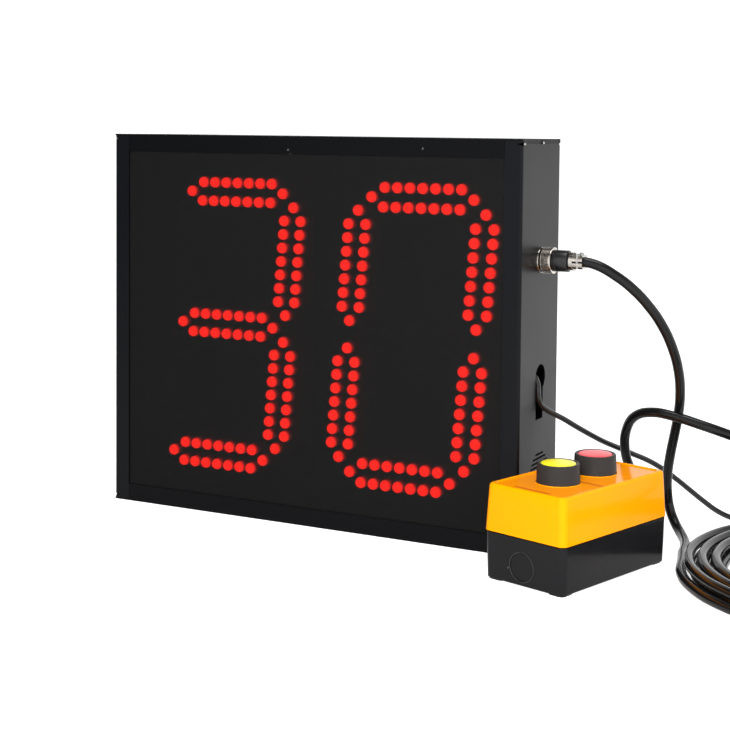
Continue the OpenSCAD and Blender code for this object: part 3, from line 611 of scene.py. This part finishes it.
screws = build("clamp_screw_pair", bm, zinc)
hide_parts("clamp_screws")


# BARREL PLUG
# The power lead ends in a moulded low-voltage plug, all of it in one black finish.
plug_moulding = finish(
    "plug_moulding", (0.008, 0.008, 0.008), (0.014, 0.014, 0.014), patch=150, grain=1600,
    depth=0.00004, rough=(0.35, 0.5))
refinish(plug_moulding, "power_plug")


# STATION BASE
# A moulded box of glossy black plastic that widens a little upwards. Its near end has a round
# knockout with a thin scored edge and a small pip beside it, and it stands on four pads.
def upright(edges):
    """Those of the edges that rise by more than a millimetre."""
    return [e for e in edges if abs(e.verts[0].co.z - e.verts[1].co.z) > 1]


def tapered_box(size, low, high, inset_low, inset_high, corner):
    """A box of (length, width) between two heights, drawn in at both, with rounded uprights."""
    bm = bmesh.new()
    bmesh.ops.create_cube(bm, size=1)
    for v in bm.verts:
        inset = inset_high if v.co.z > 0 else inset_low
        v.co = (
            inset if v.co.x < 0 else size[0] - inset, inset if v.co.y < 0 else size[1] - inset,
            high if v.co.z > 0 else low)
    bmesh.ops.bevel(
        bm, geom=upright(bm.edges), offset=corner, segments=10, profile=0.5, affect="EDGES",
        material=-1)
    return bm


def round_profile(r, h, thickness):
    """The profile of a ring with a round section of that half thickness."""
    turns = [math.tau * k / 10 for k in range(10)]
    return [(r + thickness * math.cos(t), h + thickness * math.sin(t)) for t in turns]


station_mm = Matrix.Scale(0.001, 4) @ station
station_size = (114, 64)
station_wall = 2.5
button_row = 33
base_plastic = finish(
    "base_plastic", (0.0095, 0.0095, 0.0105), (0.0125, 0.0125, 0.0135), patch=40, grain=700,
    depth=0.00004, rough=(0.12, 0.18), Specular_IOR_Level=0.13)

base_low, base_high, inset_low, inset_high = 1, 31, 0.6, -0.1
bm = tapered_box(station_size, base_low, base_high, inset_low, inset_high, corner=5)
bottom = [e for e in bm.edges if max(v.co.z for v in e.verts) < base_low + 0.01]
bmesh.ops.bevel(bm, geom=bottom, offset=0.7, segments=3, profile=0.5, affect="EDGES", material=-1)
lid = max(bm.faces, key=lambda f: f.calc_center_median().z)
bmesh.ops.inset_region(bm, faces=[lid], thickness=station_wall)
bmesh.ops.translate(bm, verts=lid.verts, vec=(0, 0, -27))
near_end = min(
    (f for f in bm.faces if f.calc_area() > 500), key=lambda f: f.calc_center_median().x)
slope = (inset_high - inset_low) / (base_high - base_low)
face_edges = list(near_end.edges)
bmesh.ops.delete(bm, geom=[near_end], context="FACES_ONLY")
knockout_z, groove_depth = 13, 0.8
rings = []
for r in (9.2, 8.5):
    hoop = bmesh.ops.create_circle(
        bm, segments=64, radius=r, matrix=Matrix.Translation((0, button_row, knockout_z))
        @ Matrix.Rotation(math.radians(90), 4, "Y"))
    for v in hoop["verts"]:
        v.co.x = inset_low + (v.co.z - base_low) * slope
    rings.append(edges_of(hoop["verts"]))
bmesh.ops.triangle_fill(bm, edges=face_edges + rings[0], normal=(-1, 0, 0), use_beauty=True)
floor_edges = []
for loop in rings:
    deep = bmesh.ops.extrude_edge_only(bm, edges=loop)["geom"]
    verts = only(bmesh.types.BMVert, deep)
    bmesh.ops.translate(bm, verts=verts, vec=(groove_depth, 0, 0))
    floor_edges += [
        e for e in only(bmesh.types.BMEdge, deep) if all(v in verts for v in e.verts)]
bmesh.ops.bridge_loops(bm, edges=floor_edges)
bmesh.ops.contextual_create(bm, geom=rings[1])
foot_size = Matrix.Diagonal((12, 12, 1.1, 1))
for x in (8, 106):
    for y in (8, 56):
        foot = bmesh.ops.create_cube(
            bm, size=1, matrix=Matrix.Translation((x, y, 0.55)) @ foot_size)
        bmesh.ops.bevel(
            bm, geom=upright(edges_of(foot["verts"])), offset=3, segments=4, profile=0.5,
            affect="EDGES", material=-1)
bmesh.ops.recalc_face_normals(bm, faces=bm.faces)
bm.transform(station_mm)
base = build("station_box", bm, base_plastic)
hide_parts("station_base")

scored_edge = finish(
    "scored_edge", (0.012, 0.012, 0.013), (0.02, 0.02, 0.021), patch=90, grain=900, depth=0.00004,
    rough=(0.1, 0.16), Specular_IOR_Level=0.9)
face_lean = 88.66
bm = turned(
    round_profile(9.45, 0, 0.3), station_mm @ Matrix.Translation((0.32, button_row, knockout_z))
    @ Matrix.Rotation(math.radians(face_lean), 4, "Y"), closed=True)
bmesh.ops.create_uvsphere(
    bm, u_segments=16, v_segments=8, radius=0.0009,
    matrix=station_mm @ Matrix.Translation((0.2, 43.6, 11)) @ Matrix.Scale(1000, 4))
build("knockout_lip", bm, scored_edge)


# STATION GASKET AND GLAND
# A thin black rubber frame between base and cover, and a black nylon gland on the far end.
rubber = finish(
    "gasket_rubber", (0.005, 0.005, 0.005), (0.009, 0.009, 0.009), patch=100, grain=1500,
    depth=0.00005, rough=(0.5, 0.65))
refinish(rubber, "station_gasket")
nylon = finish(
    "gland_nylon", (0.007, 0.007, 0.008), (0.012, 0.012, 0.013), patch=120, grain=1500,
    depth=0.00004, rough=(0.3, 0.42))
refinish(nylon, "cable_gland", "gland_nut")


# STATION COVER
# A moulded lid in signal yellow, open below. A round-edged rim stands round the sunk top, whose
# upward faces are painted a darker orange as painted shade, and which has a shallow legend strip
# beside each of its two button holes.
button_places = (37, 77)
sunk_z = 61.2
cover_plastic = finish(
    "cover_plastic", (0.97, 0.325, 0.0006), (1, 0.352, 0.001), patch=22, grain=600, depth=0.00003,
    rough=(0.1, 0.16), Specular_IOR_Level=0.07)
tree = cover_plastic.node_tree
cover_colour = tree.nodes["Principled BSDF"].inputs["Base Color"]
# Painted shade: faces that look up, below the rim's top, are painted a darker orange.
flat = calc(tree, "GREATER_THAN", along(tree, "Normal", "Z"), 0.9)
low = calc(tree, "LESS_THAN", along(tree, "Object", "Z"), 0.0615)
sunk = calc(tree, "MULTIPLY", flat, low)
factor, painted_top_shade = colour_mix(tree, cover_colour.links[0].from_socket, (0.97, 0.305, 0.0015))
tree.links.new(sunk, factor)
tree.links.new(painted_top_shade, cover_colour)


def rounded_loop(bm, inset, radius, z):
    """A rounded rectangle of vertices, that far inside the outline of the station."""
    loop = []
    near = inset + radius
    far_x, far_y = station_size[0] - inset - radius, station_size[1] - inset - radius
    corners = ((far_x, far_y), (near, far_y), (near, near), (far_x, near))
    for turn, (x, y) in enumerate(corners):
        for k in range(9):
            angle = math.radians(90 * turn + 90 * k / 8)
            loop.append(bm.verts.new((
                x + radius * math.cos(angle), y + radius * math.sin(angle), z)))
    return loop


def closed_pairs(loop):
    """Each vertex of a loop with the one before it."""
    return [(loop[k - 1], loop[k]) for k in range(len(loop))]


lid_low, lid_high = 31.8, 62
bm = tapered_box(station_size, lid_low, lid_high, inset_low=-0.5, inset_high=1, corner=5)
top_edges = [e for e in bm.edges if min(v.co.z for v in e.verts) > lid_high - 0.1]
bmesh.ops.bevel(
    bm, geom=top_edges, offset=1.8, segments=6, profile=0.5, affect="EDGES", material=-1,
    clamp_overlap=True)
lid = max(bm.faces, key=lambda f: (round(f.calc_center_median().z, 2), f.calc_area()))
rim = list(lid.edges)
bmesh.ops.delete(bm, geom=[lid], context="FACES_ONLY")
steps = [
    rounded_loop(bm, inset, radius, z)
    for inset, radius, z in ((3.3, 7, lid_high), (3.55, 6.8, 61.8), (3.65, 6.7, sunk_z))]
for outer, inner in zip(steps, steps[1:]):
    for k in range(len(outer)):
        bm.faces.new((outer[k - 1], outer[k], inner[k], inner[k - 1]))
rim_inside, recess = [
    [bm.edges.get(pair) for pair in closed_pairs(loop)] for loop in (steps[0], steps[-1])]
bmesh.ops.triangle_fill(bm, edges=rim + rim_inside, normal=(0, 0, 1), use_beauty=True)
strip_x, strip_width, strip_starts, strip_end = -30.5, 3.5, (17, 5), 46
holes, strips = [], []
for u, start in zip(button_places, strip_starts):
    hoop = bmesh.ops.create_circle(
        bm, segments=64, radius=11.2, matrix=Matrix.Translation((u, button_row, sunk_z)))
    holes += edges_of(hoop["verts"])
    left, right = u + strip_x, u + strip_x + strip_width
    corners = [
        bm.verts.new((x, y, sunk_z))
        for x, y in ((left, start), (right, start), (right, strip_end), (left, strip_end))]
    strips.append([
        bm.edges.new(pair) for pair in zip(corners, corners[1:] + corners[:1])])
bmesh.ops.triangle_fill(
    bm, edges=recess + holes + [e for strip in strips for e in strip], normal=(0, 0, 1),
    use_beauty=True)
strip_depth, hole_depth = 0.9, 2.4
for strip in strips:
    deep = bmesh.ops.extrude_edge_only(bm, edges=strip)["geom"]
    verts = only(bmesh.types.BMVert, deep)
    bmesh.ops.translate(bm, verts=verts, vec=(0, 0, -strip_depth))
    bmesh.ops.contextual_create(bm, geom=verts)
deep = bmesh.ops.extrude_edge_only(bm, edges=holes)["geom"]
bmesh.ops.translate(bm, verts=only(bmesh.types.BMVert, deep), vec=(0, 0, -hole_depth))
mouth = min(bm.faces, key=lambda f: f.calc_center_median().z)
bmesh.ops.inset_region(bm, faces=[mouth], thickness=station_wall)
bmesh.ops.translate(bm, verts=mouth.verts, vec=(0, 0, 26))
bmesh.ops.delete(bm, geom=[mouth], context="FACES_ONLY")
bmesh.ops.recalc_face_normals(bm, faces=bm.faces)
bm.transform(station_mm)
cover = build("station_lid", bm, cover_plastic)
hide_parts("station_cover")

# Painted shade: a darker orange box lies just under the surface in each legend strip's groove.
strip_painted_shade = finish(
    "strip_painted_shade", (0.62, 0.15, 0.002), (0.7, 0.175, 0.003), patch=60, grain=900, depth=0.00003,
    rough=(0.3, 0.4), Specular_IOR_Level=0.1)
bm = bmesh.new()
for u, start in zip(button_places, strip_starts):
    middle = (u + strip_x + strip_width / 2, (start + strip_end) / 2, sunk_z - 0.41)
    bmesh.ops.create_cube(
        bm, size=1, matrix=station_mm @ Matrix.Translation(middle)
        @ Matrix.Diagonal((strip_width - 0.1, strip_end - 0.1 - start, 0.7, 1)))
build("legend_strip_shade", bm, strip_painted_shade, smooth=0)
bm = bmesh.new()
for u in button_places:
    merge(bm, turned(
        round_profile(14.75, sunk_z, 0.4), station_mm @ Matrix.Translation((u, button_row, 0)),
        closed=True))
build("button_seats", bm, cover_plastic)


# BUTTONS
# Two flush push buttons, yellow and red. Each has a tapered collar of dark grey satin plastic, a
# cap that slides in it, and below the lid a lock nut, a spring and a blue contact block.
collar_plastic = finish(
    "collar_plastic", (0.024, 0.0225, 0.0215), (0.03, 0.0285, 0.0275), patch=60, grain=1300,
    depth=0.00004, rough=(0.38, 0.48), Specular_IOR_Level=0.18)
cap_finishes = {
    "yellow": finish(
        "yellow_cap_plastic", (0.95, 0.84, 0.01), (1, 0.9, 0.02), patch=60, grain=1200,
        depth=0.00003, rough=(0.25, 0.35), Specular_IOR_Level=0.35),
    "red": finish(
        "red_cap_plastic", (0.86, 0.06, 0.075), (0.96, 0.08, 0.1), patch=60, grain=1200,
        depth=0.00003, rough=(0.25, 0.35), Specular_IOR_Level=0.35),
}
contact_blue = finish(
    "contact_blue", (0.03, 0.075, 0.15), (0.045, 0.1, 0.19), patch=90, grain=1500, depth=0.00004,
    rough=(0.35, 0.5))
spring_steel = finish(
    "spring_steel", (0.5, 0.5, 0.5), (0.62, 0.62, 0.62), patch=300, grain=2500, depth=0.00002,
    rough=(0.25, 0.35), Metallic=1)
for colour, u in zip(("yellow", "red"), button_places):
    axis = station_mm @ Matrix.Translation((u, button_row, 0))
    bm = turned([
        (8.8, 38), (11, 38), (11, 61.2), (14.3, 61.2), (14.4, 61.4), (14.4, 62.0), (14.2, 62.3),
        (13.85, 72.9), (13.7, 73.6), (13.3, 74), (12.4, 74), (12.0, 73.9), (11.75, 73.6),
        (11.75, 63.6), (8.8, 63.6),
    ], axis, closed=True)
    collar = build(f"{colour}_collar", bm, collar_plastic)
    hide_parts(f"{colour}_bezel")
    bm = turned([
        (0, 30), (2, 30), (2, 44.5), (8.4, 44.5), (8.4, 68), (11.5, 68), (11.5, 73.2),
        (11.35, 73.7), (10.9, 74.0), (10, 74.15), (8, 74.4), (5, 74.65), (2.5, 74.77), (0, 74.8),
    ], axis)
    cap = build(f"{colour}_cap_top", bm, cap_finishes[colour], body=f"{colour}_button")
    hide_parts(f"{colour}_cap")
    refinish(collar_plastic, f"{colour}_lock_nut")
    refinish(spring_steel, f"{colour}_spring")
    refinish(contact_blue, f"{colour}_contact_block")
